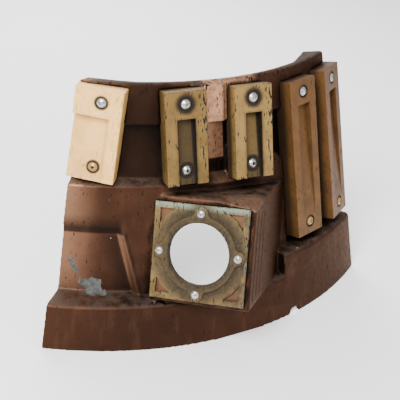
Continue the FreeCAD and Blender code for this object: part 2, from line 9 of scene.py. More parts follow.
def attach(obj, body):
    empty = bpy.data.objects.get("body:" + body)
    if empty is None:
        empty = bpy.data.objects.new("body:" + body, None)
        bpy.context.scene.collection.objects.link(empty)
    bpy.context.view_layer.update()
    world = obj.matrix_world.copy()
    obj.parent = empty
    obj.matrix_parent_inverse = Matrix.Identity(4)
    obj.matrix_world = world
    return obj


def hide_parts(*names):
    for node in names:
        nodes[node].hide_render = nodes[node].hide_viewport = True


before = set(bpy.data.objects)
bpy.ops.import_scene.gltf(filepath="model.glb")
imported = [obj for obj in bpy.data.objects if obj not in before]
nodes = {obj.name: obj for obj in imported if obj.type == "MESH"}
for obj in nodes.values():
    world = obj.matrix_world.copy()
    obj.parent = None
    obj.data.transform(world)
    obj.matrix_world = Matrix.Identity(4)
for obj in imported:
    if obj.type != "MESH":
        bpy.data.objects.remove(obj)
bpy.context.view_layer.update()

# ---- casing -----------------------------------------------------------------
# A thin moulded shell, one segment of a leaning cone on a base flange, laid up
# by hand in a mould, so its edges are soft and its faces a little uneven.
# It stands on the lower edge of the flange and carries everything else.
AXIS = Vector((0.0079964, 0.4439982, 0.0))     # centre line of the cone
RIM_RADIUS = 0.3975
RIM_HEIGHT = 0.368
LEAN = math.tan(math.radians(13.5))
VOXEL = 0.0019
EDGE_PASSES = 7
WAVE = 0.00028                                 # unevenness of the laid-up faces
SHADE_REACH = 0.055                            # how far a neighbour throws soot and shade
FACE_RADIUS = 0.4212                           # front faces of the blocks at the rim
BOX_ANGLE, BOX_RADIUS, BOX_HEIGHT = -10.0, 0.501, 0.1515
BOX_TURN, BOX_LEAN, BOX_TILT = -49.4, 21.8, 7.9
# what the finish follows: heights in millimetres, angles in degrees round the cone
BEZEL_HALF = 69.25                             # half the side of the plate on the box
FLANGE_TOP, TALL_TOP, TALL_FROM = 67.0, 100.0, 10.3
PANEL_TOP, STEP_TOP = 157.0, 171.0             # foot and top of the sunk panel's sloping step
EDGE_LOW, EDGE_HIGH = -18.7, -22.4             # its slanting right edge at the foot and at the top
GROOVE_FOOT, GROOVE_TOP = 230.0, 311.0
BAY_FROM, BAY_TOP = 13.1, 335.0


def reshaped(name, source, voxel, passes):
    """The node's shape as one even skin of small faces with softened edges."""
    o = bpy.data.objects.new(name, nodes[source].data.copy())
    bpy.context.scene.collection.objects.link(o)
    remesh = o.modifiers.new("skin", "REMESH")
    remesh.mode = "VOXEL"
    remesh.voxel_size = voxel
    soften = o.modifiers.new("soften", "SMOOTH")
    soften.factor = 0.5
    soften.iterations = passes
    skin = bpy.data.meshes.new_from_object(o.evaluated_get(bpy.context.evaluated_depsgraph_get()))
    o.modifiers.clear()
    o.data = skin
    skin.materials.clear()
    skin.shade_smooth()
    return o


def points_of(mesh):
    flat = np.empty(len(mesh.vertices) * 3)
    mesh.vertices.foreach_get("co", flat)
    return flat.reshape(-1, 3)


def normals_of(mesh):
    flat = np.empty(len(mesh.vertices) * 3)
    mesh.vertex_normals.foreach_get("vector", flat)
    return flat.reshape(-1, 3)


def write_values(mesh, name, values):
    kind = "FLOAT" if values.ndim == 1 else "FLOAT_VECTOR"
    field = mesh.attributes.new(name, kind, "POINT")
    slot = "value" if kind == "FLOAT" else "vector"
    field.data.foreach_set(slot, values.astype(np.float32).ravel())


def everything():
    """One search tree over every solid, to see what stands close to a face."""
    verts, faces = [], []
    for o in nodes.values():
        base = len(verts)
        verts += [v.co.copy() for v in o.data.vertices]
        faces += [[base + i for i in p.vertices] for p in o.data.polygons]
    return BVHTree.FromPolygons(verts, faces)


def fan_of(rays):
    """Directions spread evenly over the half sphere round +Z."""
    golden_angle = 2.39996
    out = []
    for i in range(rays):
        z = 1 - (i + 0.5) / rays
        r = math.sqrt(1 - z * z)
        a = golden_angle * i
        out.append(Vector((r * math.cos(a), r * math.sin(a), z)))
    return out


def spread_over(mesh, measure, spacing=23, sharing=9):
    """Take a measure at one point in so many and share it out to the points between."""
    lift = 0.0012
    co, no = points_of(mesh), normals_of(mesh)
    picked = np.random.RandomState(1).permutation(len(co))[::spacing]
    found = KDTree(len(picked))
    value, facing = [], []
    for k, i in enumerate(picked):
        facing.append(Vector(no[i]))
        value.append(measure(Vector(co[i]) + facing[-1] * lift, facing[-1]))
        found.insert(Vector(co[i]), k)
    found.balance()
    out = np.empty(len(co))
    for i, (p, n) in enumerate(zip(co, no)):
        here, weight, total = Vector(n), 0.0, 0.0
        for _, k, d in found.find_n(Vector(p), sharing):
            # a point that faces another way, as across the thin wall, counts for next to nothing
            w = max(0.02, here.dot(facing[k])) ** 3 / (d + 0.0008)
            weight += w
            total += w * value[k]
        out[i] = total / weight
    return out


casing = reshaped("casing_shell", "casing", VOXEL, EDGE_PASSES)
co, no = points_of(casing.data), normals_of(casing.data)
for i, (p, n) in enumerate(zip(co, no)):
    swell = noise.noise(Vector(p) * 22.0) + 0.35 * noise.noise(Vector(p) * 90.0)
    if p[2] > 0.001:
        co[i] = p + n * swell * WAVE
co[:, 2] = np.maximum(co[:, 2], 0.0)
casing.data.vertices.foreach_set("co", co.ravel())
x, y, z = co[:, 0] - AXIS.x, co[:, 1] - AXIS.y, co[:, 2]
radius = np.hypot(x, y)
depth = RIM_RADIUS + LEAN * (RIM_HEIGHT - z) - radius
# angle in degrees, height and depth under the cone in millimetres
wrap = np.stack([np.degrees(np.arctan2(x, -y)), z * 1000, depth * 1000], axis=1)
write_values(casing.data, "wrap", wrap)
solids = everything()
shell = BVHTree.FromPolygons([v.co for v in nodes["casing"].data.vertices],
                             [p.vertices[:] for p in nodes["casing"].data.polygons])
sky = fan_of(28)


def closeness(start, normal):
    """Share of the sky that close neighbours hide."""
    turn = normal.to_track_quat("Z", "Y")
    return sum(solids.ray_cast(start, turn @ d, SHADE_REACH)[0] is not None for d in sky) / len(sky)


def reached(face, enough=3):
    """Whether a spray gun moved round the outside could see this face."""
    start = face.center + face.normal * 0.0015
    outward = math.degrees(math.atan2(start.x - AXIS.x, AXIS.y - start.y))
    clear = 0
    for turn in (-80, -50, -25, 0, 25, 50, 80):
        for rise in (-25, 0, 20, 45):
            a, b = math.radians(outward + turn), math.radians(rise)
            way = Vector((math.sin(a) * math.cos(b), -math.cos(a) * math.cos(b), math.sin(b)))
            clear += face.normal.dot(way) > 0.05 and shell.ray_cast(start, way)[0] is None
    return clear >= enough


write_values(casing.data, "shelter", spread_over(casing.data, closeness))
in_view = [float(reached(face)) for face in nodes["casing"].data.polygons]
write_values(casing.data, "painted", np.array([in_view[shell.find_nearest(p)[2]] for p in co]))


def on_face(angle, turn, lean, tilt, top, radius=FACE_RADIUS):
    """Where a piece sits: x along its face, y up it, z out of it, from its top edge."""
    a, b, c = (math.radians(v) for v in (angle + turn, lean, tilt))
    along = Vector((math.cos(a), math.sin(a), 0))
    up = Vector((-math.sin(a) * math.sin(b), math.cos(a) * math.sin(b), math.cos(b)))
    out = Vector((math.sin(a) * math.cos(b), -math.cos(a) * math.cos(b), math.sin(b)))
    rows = (along * math.cos(c) + up * math.sin(c), up * math.cos(c) - along * math.sin(c), out)
    seat = Matrix(rows).transposed().to_4x4()
    p = math.radians(angle)
    seat.translation = AXIS + Vector((radius * math.sin(p), -radius * math.cos(p), top))
    return seat


def laid_on(f, seat):
    """Millimetres along, up and out of the piece's own face."""
    millimetre = (0.001, 0.001, 0.001)
    return f.step("Mapping", vector_type="TEXTURE",
                  named={"Vector": f.place(), "Location": seat.translation, "Rotation": seat.to_euler(),
                         "Scale": millimetre})


box_seat = on_face(BOX_ANGLE, BOX_TURN - BOX_ANGLE, BOX_LEAN, BOX_TILT, BOX_HEIGHT, BOX_RADIUS)


class Finish:
    """A paint finish, built up one coat at a time as shader nodes."""

    def __init__(self, name, metallic=0.0, roughness=0.5):
        self.material = bpy.data.materials.new(name)
        self.material.use_nodes = True
        self.tree = self.material.node_tree
        self.shader = self.tree.nodes["Principled BSDF"]
        self.give("Metallic", metallic)
        self.give("Roughness", roughness)
        self.give("Specular IOR Level", 0.22)

    def join(self, socket, value):
        if isinstance(value, bpy.types.NodeSocket):
            self.tree.links.new(value, socket)
        elif socket.type == "RGBA":
            socket.default_value = (*value, 1)
        else:
            socket.default_value = value

    def give(self, name, value):
        self.join(self.shader.inputs[name], value)

    def step(self, kind, *values, out=0, named=None, **settings):
        made = self.tree.nodes.new("ShaderNode" + kind)
        for key, value in settings.items():
            setattr(made, key, value)
        for socket, value in zip(made.inputs, values):
            self.join(socket, value)
        for key, value in (named or {}).items():
            self.join(made.inputs[key], value)
        return made.outputs[out]

    def sums(self, kind, a, b=0.0):
        return self.step("Math", a, b, operation=kind)

    def times(self, *values):
        total = values[0]
        for value in values[1:]:
            total = self.sums("MULTIPLY", total, value)
        return total

    def either(self, a, b):
        return self.sums("MAXIMUM", a, b)

    def ease(self, value, start, end, low=0.0, high=1.0):
        return self.step("MapRange", value, start, end, low, high, interpolation_type="SMOOTHSTEP")

    def between(self, value, start, end, soft):
        return self.times(self.ease(value, start - soft, start + soft),
                          self.ease(value, end + soft, end - soft))

    def place(self):
        return self.step("TexCoord", out="Object")

    def stretch(self, where, scale):
        return self.step("VectorMath", where, scale, operation="MULTIPLY")

    def split(self, vector):
        made = self.tree.nodes.new("ShaderNodeSeparateXYZ")
        self.join(made.inputs[0], vector)
        return made.outputs[0], made.outputs[1], made.outputs[2]

    def read(self, name, out="Fac"):
        return self.step("Attribute", attribute_name=name, out=out)

    def grain(self, where, scale, detail=3.0, roughness=0.55):
        return self.step("TexNoise", named={"Vector": where, "Scale": scale, "Detail": detail,
                                            "Roughness": roughness})

    def coat(self, amount, under, over):
        made = self.tree.nodes.new("ShaderNodeMix")
        made.data_type = "RGBA"
        self.join(made.inputs[0], amount)
        self.join(made.inputs[6], under)
        self.join(made.inputs[7], over)
        return made.outputs[2]

    def fade(self, amount, under, over):
        made = self.tree.nodes.new("ShaderNodeMix")
        self.join(made.inputs[0], amount)
        self.join(made.inputs[2], under)
        self.join(made.inputs[3], over)
        return made.outputs[0]

    def relief(self, height, depth, strength=1.0, after=None):
        named = {"Height": height, "Distance": depth, "Strength": strength}
        if after is not None:
            named["Normal"] = after
        return self.step("Bump", named=named)


DARK_COPPER = (0.0225, 0.0092, 0.0051)
COPPER = (0.064, 0.0260, 0.0140)
LIGHT_COPPER = (0.31, 0.160, 0.092)
PINK_COPPER = (0.47, 0.255, 0.15)
# near-black for painted shade and for dark nicks
SOOT_AND_SHADE = (0.0036, 0.0025, 0.0019)
SHELF_DUST = (0.037, 0.029, 0.023)
GREY_PRIMER = (0.042, 0.045, 0.043)
RAW_LAMINATE = (0.085, 0.075, 0.06)
PAD_GRAIN = (0.33, 0.155, 0.085)
PRIMER_GRAIN = (0.078, 0.079, 0.074)
LAMINATE_BRUSHED = (0.035, 0.030, 0.026)
PALE_DIRT = (0.42, 0.38, 0.33)
TINTED_GLOSS = (0.72, 0.57, 0.49)
# middle and reach of each flaked patch, in metres
GREY_CHIPS = (((-0.2005, 0.0345, 0.0755), 0.0145), ((-0.2120, 0.0440, 0.0800), 0.0080),
              ((-0.1890, 0.0250, 0.0660), 0.0065), ((-0.2230, 0.0560, 0.1080), 0.0055),
              ((-0.2195, 0.0520, 0.1010), 0.0045), ((-0.2265, 0.0590, 0.1150), 0.0035))

f = Finish("copper_lacquer")
at = f.place()
angle, height, below = f.split(f.read("wrap", "Vector"))
sheltered = f.read("shelter")
facing_up = f.split(f.step("NewGeometry", out="Normal"))[2]
blotch = f.grain(at, 9.0, 3.0, 0.5)
fine = f.grain(at, 130.0, 4.0, 0.65)
runs = f.grain(f.stretch(at, (60.0, 60.0, 14.0)), 1.0, 2.0)
paint = f.coat(f.ease(blotch, 0.25, 0.75), DARK_COPPER, COPPER)
# painted highlight: pale copper over the left end, stronger higher up
left_painted_highlight = f.times(f.ease(angle, -25.5, -32.5), f.ease(height, FLANGE_TOP - 3.0, FLANGE_TOP + 7.0),
                     f.ease(blotch, 0.2, 0.6, 0.55, 1.0))
paint = f.coat(f.times(left_painted_highlight, f.ease(height, 140.0, 185.0, 0.42, 0.54)), paint, LIGHT_COPPER)
# painted shade: the flange below its top is darkened
paint = f.coat(f.times(f.ease(height, FLANGE_TOP + 1.0, FLANGE_TOP - 7.0), 0.55), paint, DARK_COPPER)
# painted shade: the right end and the right side of the box are darkened
across_box, up_box, out_of_box = f.split(laid_on(f, box_seat))
box_side = f.times(f.ease(across_box, 70.0, 74.0), f.ease(out_of_box, -3.0, -10.0),
                   f.between(up_box, -90.0, 90.0, 4.0))
right_painted_shade = f.either(f.ease(angle, 2.0, 24.0), f.times(box_side, 0.75))
paint = f.coat(f.times(right_painted_shade, 0.8), paint, DARK_COPPER)
# painted shade in the sunk panel's top crease, beside the sloping face of its right edge and in a thin line
# beyond it; a painted highlight on that sloping face
edge_line = f.step("MapRange", height, FLANGE_TOP, STEP_TOP, EDGE_LOW, EDGE_HIGH)
from_edge = f.sums("SUBTRACT", angle, edge_line)
crease = f.times(f.ease(height, STEP_TOP + 17.0, PANEL_TOP + 6.0),
                 f.ease(height, PANEL_TOP - 3.0, PANEL_TOP + 0.5),
                 f.ease(from_edge, 0.4, -0.4), f.ease(blotch, 0.2, 0.6, 0.75, 1.0))
beside = f.times(f.ease(from_edge, -4.6, -1.5), f.ease(from_edge, -1.0, -1.4),
                 f.between(height, FLANGE_TOP - 1.0, PANEL_TOP - 2.0, 4.0))
beyond = f.times(f.between(from_edge, 0.15, 0.75, 0.2),
                 f.between(height, FLANGE_TOP - 1.0, PANEL_TOP + 3.0, 4.0))
bevel_painted_highlight = f.times(f.between(from_edge, -1.2, 0.05, 0.15),
                 f.between(height, FLANGE_TOP + 3.0, PANEL_TOP - 1.0, 3.0))
paint = f.coat(f.times(bevel_painted_highlight, 0.27), paint, LIGHT_COPPER)
panel_shade = f.either(f.times(crease, 0.86), f.either(f.times(beside, 0.5), f.times(beyond, 0.55)))
paint = f.coat(panel_shade, paint, SOOT_AND_SHADE)
paint = f.coat(f.times(f.ease(runs, 0.5, 0.8), 0.05), paint, LIGHT_COPPER)
paint = f.coat(f.times(f.ease(fine, 0.5, 0.75), 0.18), paint, DARK_COPPER)
# the pad between two blocks and the groove under it were left in light copper
pad = f.times(f.between(angle, -6.7, -1.2, 0.3), f.ease(height, 251.0, 255.0))
rim_light = f.times(f.between(angle, -6.5, 5.5, 1.2), f.ease(height, 351.0, 355.0), 0.7)
ledge_light = f.times(f.between(angle, -5.0, 0.8, 0.8), f.between(height, 221.0, 234.0, 1.5), 0.55)
pad = f.either(pad, f.either(rim_light, ledge_light))
pad_strength = f.fade(f.ease(height, GROOVE_TOP - 6.0, GROOVE_TOP + 1.0), 0.55, 0.95)
paint = f.coat(f.times(pad, pad_strength), paint, f.coat(f.ease(fine, 0.4, 0.65), PINK_COPPER, PAD_GRAIN))
# painted shade with dark overspray in the groove and the bay; painted shade in the corners, between the
# first two blocks and in the open end of the tall flange
groove = f.times(f.ease(below, 4.0, 10.0), f.between(height, GROOVE_FOOT + 6.0, GROOVE_TOP + 5.0, 6.0),
                 f.ease(pad, 1.0, 0.0))
bay = f.times(f.ease(angle, BAY_FROM - 0.5, BAY_FROM + 0.5), f.ease(height, TALL_TOP, TALL_TOP + 25.0),
              f.ease(height, BAY_TOP + 17.0, BAY_TOP + 1.0),
              f.ease(height, BAY_TOP - 17.0, BAY_TOP + 3.0, 1.0, 0.55))
window_floor = f.times(f.between(out_of_box, -7.5, -3.5, 0.5),
                       f.between(across_box, -BEZEL_HALF, BEZEL_HALF, 1.0),
                       f.between(up_box, -BEZEL_HALF, BEZEL_HALF, 1.0))
corner = f.times(f.ease(sheltered, 0.24, 0.75), f.ease(pad, 1.0, 0.35), f.ease(window_floor, 1.0, 0.0))
pocket = f.times(f.between(angle, TALL_FROM - 0.3, TALL_FROM + 2.9, 0.1),
                 f.between(height, FLANGE_TOP + 3.5, TALL_TOP - 4.5, 0.3),
                 f.ease(below, -3.5, -5.5), f.ease(below, -21.4, -19.8))
between_blocks = f.times(f.between(angle, -22.5, -13.0, 1.5), f.ease(height, 226.0, 236.0), 0.62)
recesses = f.either(f.times(groove, 0.66), f.times(bay, 0.82))
paint = f.coat(f.either(recesses, between_blocks), paint, SOOT_AND_SHADE)
paint = f.coat(f.either(f.times(corner, 0.85), pocket), paint, SOOT_AND_SHADE)
# dust lies on whatever faces up
dust = f.times(f.ease(facing_up, 0.45, 0.92), f.ease(f.grain(at, 70.0, 5.0, 0.7), 0.3, 0.62),
               f.ease(sheltered, 0.75, 0.35))
paint = f.coat(f.times(dust, 0.78), paint, SHELF_DUST)
# painted light: the casing seen through the plate's corner windows is lightened
paint = f.coat(f.times(window_floor, 0.27), paint, LIGHT_COPPER)
# short dark nicks, upright on the walls, along the rim, the pad and the ledge
nick_field = f.grain(f.stretch(at, (330.0, 330.0, 75.0)), 1.0, 1.0)
nick_rows = f.either(f.ease(height, 348.0, 356.0), f.between(height, 228.0, 250.0, 3.0))
nicks = f.times(f.ease(nick_field, 0.60, 0.62), f.either(nick_rows, f.times(pad, 0.9)),
                f.ease(f.grain(at, 28.0, 2.0), 0.44, 0.52))
few = f.times(f.ease(f.grain(f.stretch(at, (260.0, 260.0, 90.0)), 1.0, 1.0), 0.69, 0.71), 0.8)
nicks = f.either(nicks, few)
paint = f.coat(nicks, paint, SOOT_AND_SHADE)
# lacquer flaked off to grey primer low down beside the left end
flaked = 0.0
wobble = f.step("VectorMath", f.step("TexNoise", named={"Vector": at, "Scale": 105.0, "Detail": 3.0},
                                     out="Color"), (0.5, 0.5, 0.5), operation="SUBTRACT")
ragged = f.step("VectorMath", at, f.stretch(wobble, (0.017, 0.017, 0.017)), operation="ADD")
for middle, reach in GREY_CHIPS:
    away = f.step("VectorMath", ragged, middle, operation="DISTANCE", out="Value")
    spot = f.ease(away, reach, reach * 0.88)
    flaked = f.either(flaked, spot)
paint = f.coat(flaked, paint, f.coat(f.ease(fine, 0.4, 0.6), GREY_PRIMER, PRIMER_GRAIN))
# pale specks of dirt
speck = f.tree.nodes.new("ShaderNodeTexVoronoi")
f.join(speck.inputs["Vector"], at)
speck.inputs["Scale"].default_value = 75.0
speckled = f.times(f.ease(speck.outputs["Distance"], 0.085, 0.06),
                   f.ease(f.split(speck.outputs["Color"])[0], 0.93, 0.95))
paint = f.coat(f.times(speckled, 0.75), paint, PALE_DIRT)
# the back is bare laminate, brushed with a dull coat
end_of_flange = f.times(f.between(angle, TALL_FROM - 0.7, TALL_FROM + 3.1, 0.3),
                        f.ease(height, FLANGE_TOP - 7.0, FLANGE_TOP - 3.0), f.ease(below, 1.0, -1.0))
behind = f.times(f.ease(f.read("painted"), 0.55, 0.3), f.ease(end_of_flange, 1.0, 0.0))
paint = f.coat(behind, paint, f.coat(blotch, RAW_LAMINATE, LAMINATE_BRUSHED))
f.give("Base Color", paint)
f.give("Specular Tint", TINTED_GLOSS)
bare = f.either(f.either(behind, flaked), f.either(f.times(dust, 0.9), f.either(nicks, speckled)))
f.give("Metallic", f.fade(bare, 0.66, 0.0))
f.give("Roughness", f.fade(bare, f.ease(fine, 0.3, 0.7, 0.36, 0.50), 0.85))
hollows = f.either(flaked, nicks)
orange_peel = f.relief(f.grain(at, 420.0, 2.0), 0.00018, 0.6)
f.give("Normal", f.relief(hollows, 0.0004, 0.8, orange_peel))
casing.data.materials.append(f.material)
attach(casing, "root")
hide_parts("casing")

# ---- short blocks -------------------------------------------------------------
# Three cast blocks with a wide slot run out at the foot, painted brass and then
# shaded with black from a small spray gun round the slot and the screws; painted shade darkens the inside of
# the slot and the flanks as well.
SHORT_TOP = 0.365
SHORT_LENGTH = 134.0
SLOT_TOP = 39.0
SLOT_HALF = 13.5
BRIGHT_GOLD = (0.93, 0.545, 0.182)
OLIVE_BRASS = (0.185, 0.112, 0.034)
# black for the spray-gun shading and for painted shade
SPRAYED_BLACK_AND_SHADE = (0.0035, 0.0022, 0.0013)
BARE_CHIP = (0.008, 0.006, 0.005)


def ring_of(f, x, y, middle, start, end):
    """Full at the end radius, fading out to the start radius, round one screw."""
    dx, dy = f.sums("SUBTRACT", x, middle[0]), f.sums("SUBTRACT", y, middle[1])
    return f.ease(f.sums("SQRT", f.sums("ADD", f.times(dx, dx), f.times(dy, dy))), start, end)


def brass_paint(name, seat, tone, shade, screws, slot, size, chips, spray_and_shade, slot_floor_shade_and_spray, flank_shade_and_spray):
    """Sprayed brass with black shading, painted shade in the slot and on the flanks, and upright chips, for
    one block.

    Places on the face are in millimetres: the screws, the slot's left, right, top and
    foot, and the block's left and right edge and its length.
    """
    left, right, length = size
    f = Finish(name)
    here = laid_on(f, seat)
    x, y, z = f.split(here)
    cloud = f.grain(here, 0.035, 3.0)
    fine = f.grain(here, 0.28, 4.0, 0.65)
    brushed = f.grain(f.stretch(here, (0.5, 0.03, 0.5)), 1.0, 3.0)
    paint = f.coat(f.ease(cloud, 0.3, 0.7), tone, shade)
    paint = f.coat(f.times(f.ease(brushed, 0.5, 0.8), 0.3), paint, shade)
    paint = f.coat(f.times(f.ease(fine, 0.55, 0.75), 0.25), paint, tuple(v * 1.3 for v in tone))
    halo = 0.0
    for middle in screws:
        halo = f.either(halo, ring_of(f, x, y, middle, 9.0 + 10.0 * max(spray_and_shade, 0.15), 7.5 + 3.0 * spray_and_shade))
    slot_left, slot_right, slot_top, slot_foot = slot
    in_slot = f.times(f.between(x, slot_left - 1.0, slot_right + 1.0, 0.3),
                      f.between(y, slot_foot, slot_top + 1.0, 0.3))
    low = f.ease(z, -0.6, -2.5)
    near_slot = f.times(f.between(x, slot_left - 1.0, slot_right + 1.0, 5.0),
                        f.between(y, slot_foot, slot_top + 1.0, 5.0), f.ease(low, 1.0, 0.0))
    # painted shade with black overspray inside the slot, darkest at its walls and ends
    wall = f.either(f.times(f.ease(x, slot_left + 8.0, slot_left), 0.75),
                    f.ease(x, slot_right - 9.0, slot_right - 2.0))
    ends = f.either(f.times(f.ease(y, slot_top - 26.0, slot_top - 2.0), 0.8),
                    f.times(f.ease(y, -length + 44.0, -length + 14.0), 0.75))
    slot_shade_and_spray = f.times(in_slot, low, f.either(f.either(wall, ends), 0.52 + slot_floor_shade_and_spray))
    # painted shade with black overspray on the flanks, darker deeper down, and at half strength on the top
    # face
    flank = f.times(f.ease(z, -5.0, -18.0), f.ease(in_slot, 1.0, 0.0), flank_shade_and_spray)
    flank = f.either(flank, f.times(f.ease(y, -1.0, -0.2), f.ease(z, -0.2, -1.2), flank_shade_and_spray * 0.5))
    soot_and_shade = f.either(f.either(f.times(halo, 0.98), f.times(slot_shade_and_spray, spray_and_shade)),
                    f.either(flank, f.times(near_slot, 0.74 * spray_and_shade)))
    soot_and_shade = f.times(soot_and_shade, f.ease(fine, 0.2, 0.6, 0.92, 1.0))
    paint = f.coat(soot_and_shade, paint, SPRAYED_BLACK_AND_SHADE)
    rim = f.either(f.either(f.ease(x, left + 9.0, left + 3.0), f.ease(x, right - 15.0, right - 8.0)),
                   f.either(f.ease(y, -6.0, -1.0), f.ease(y, -length + 11.0, -length + 3.0)))
    flecks = f.grain(f.stretch(here, (0.33, 0.085, 0.33)), 1.0, 1.0)
    where = f.ease(f.grain(here, 0.05, 2.0), 0.42, 0.55)
    knocked = f.times(f.ease(flecks, 0.545, 0.56), f.ease(x, right - 14.0, right - 9.0), where)
    chipped = f.times(f.either(f.either(knocked, f.times(f.ease(flecks, 0.595, 0.615), f.times(rim, where))),
                               f.ease(flecks, 0.675, 0.69)), chips, f.ease(z, -12.0, -9.0))
    edge = f.times(f.ease(f.grain(here, 0.55, 2.0), 0.56, 0.62),
                   f.either(f.either(f.ease(x, left + 1.6, left + 0.5), f.ease(x, right - 1.6, right - 0.5)),
                            f.ease(y, -1.6, -0.5)), f.ease(z, -3.0, -1.0), 0.7)
    paint = f.coat(f.either(chipped, f.times(edge, chips)), paint, BARE_CHIP)
    f.give("Base Color", paint)
    spoiled = f.either(chipped, f.times(soot_and_shade, 0.7))
    f.give("Metallic", f.fade(spoiled, 0.45, 0.0))
    f.give("Roughness", f.fade(spoiled, f.ease(fine, 0.3, 0.7, 0.38, 0.5), 0.8))
    f.give("Normal", f.relief(chipped, 0.0003, -0.9, f.relief(f.grain(here, 0.7, 3.0), 0.00016, 0.5)))
    return f.material


def refinish(node, material):
    nodes[node].data.materials.clear()
    nodes[node].data.materials.append(material)


OPEN_FOOT = -150.0                             # the slots run out past the blocks' lower edge
MIDDLE_SLOT = (-SLOT_HALF, SLOT_HALF, -SLOT_TOP, OPEN_FOOT)
MIDDLE_SCREWS = ((0.0, -18.0), (0.0, -114.0))
SHORT_SIZE = (-30.0, 30.0, SHORT_LENGTH)
# each block's seat on the cone is its angle, turn, lean and tilt
SHORT_BLOCKS = (
    ("block_1", (-26.5, -12.6, 5.5, -3.0),
     dict(tone=BRIGHT_GOLD, shade=(0.76, 0.43, 0.132), screws=((-2.0, -18.0), (-4.0, -113.0)),
          slot=(-60.0, 10.5, -SLOT_TOP, OPEN_FOOT), size=(-40.0, 27.5, 133.0),
          chips=0.35, spray_and_shade=0.32, slot_floor_shade_and_spray=-0.25, flank_shade_and_spray=0.35)),
    ("block_2", (-11.45, -1.6, 12.0, 3.7),
     dict(tone=OLIVE_BRASS, shade=(0.125, 0.073, 0.022), screws=MIDDLE_SCREWS, slot=MIDDLE_SLOT,
          size=SHORT_SIZE, chips=1.0, spray_and_shade=1.0, slot_floor_shade_and_spray=0.25, flank_shade_and_spray=0.55)),
    ("block_3", (3.0, -8.0, 17.0, 0.1),
     dict(tone=(0.26, 0.160, 0.050), shade=(0.185, 0.112, 0.036), screws=MIDDLE_SCREWS, slot=MIDDLE_SLOT,
          size=SHORT_SIZE, chips=1.0, spray_and_shade=1.0, slot_floor_shade_and_spray=0.1, flank_shade_and_spray=0.93)),
)
for name, place, finish in SHORT_BLOCKS:
    refinish(name, brass_paint(name + "_brass", on_face(*place, SHORT_TOP), **finish))

# ---- long slats ---------------------------------------------------------------
# Two long castings with a narrow shallow slot, in a browner bronze paint that
# has been rubbed along its length. Each is held by two screws through the bay.
SLAT_TOP = 0.3535
SLATS = (("slat_4", (17.0, -2.9, 13.4, 1.6), (0.135, 0.062, 0.0190)),
         ("slat_5", (28.5, 3.0, 13.7, -0.9), (0.135, 0.060, 0.0185)))
SLAT_SCREWS = ((0.0, -18.0), (0.0, -226.0))
SLAT_SLOT = (-SLOT_HALF, SLOT_HALF, -SLOT_TOP, -218.0)
for name, place, tone in SLATS:
    shade = tuple(v * 0.72 for v in tone)
    refinish(name, brass_paint(name + "_bronze", on_face(*place, SLAT_TOP), tone, shade,
                               screws=SLAT_SCREWS, slot=SLAT_SLOT, size=(-28.5, 28.5, 246.0), chips=0.5,
                               spray_and_shade=0.3, slot_floor_shade_and_spray=-0.3, flank_shade_and_spray=0.86))

# ---- porthole bezel ------------------------------------------------------------
# A square plate with four corner windows, and over it a round ring with four
# screw lugs. Both were painted brass, sooted round the ring, and touched with a
# pale green-blue along the top edge as if corroded.
PLATE_BRASS = (0.172, 0.113, 0.042)
VERDIGRIS = (0.16, 0.215, 0.165)
DARK_PLATE_BRASS = (0.085, 0.052, 0.017)
BRIGHT_PLATE_BRASS = (0.27, 0.18, 0.075)
# near-black for the ring's soot and for painted shade
BEZEL_SOOT_AND_SHADE = (0.010, 0.0072, 0.0038)
PORT_SCREWS = 57.5                             # from the middle of the ring to its screws, in millimetres


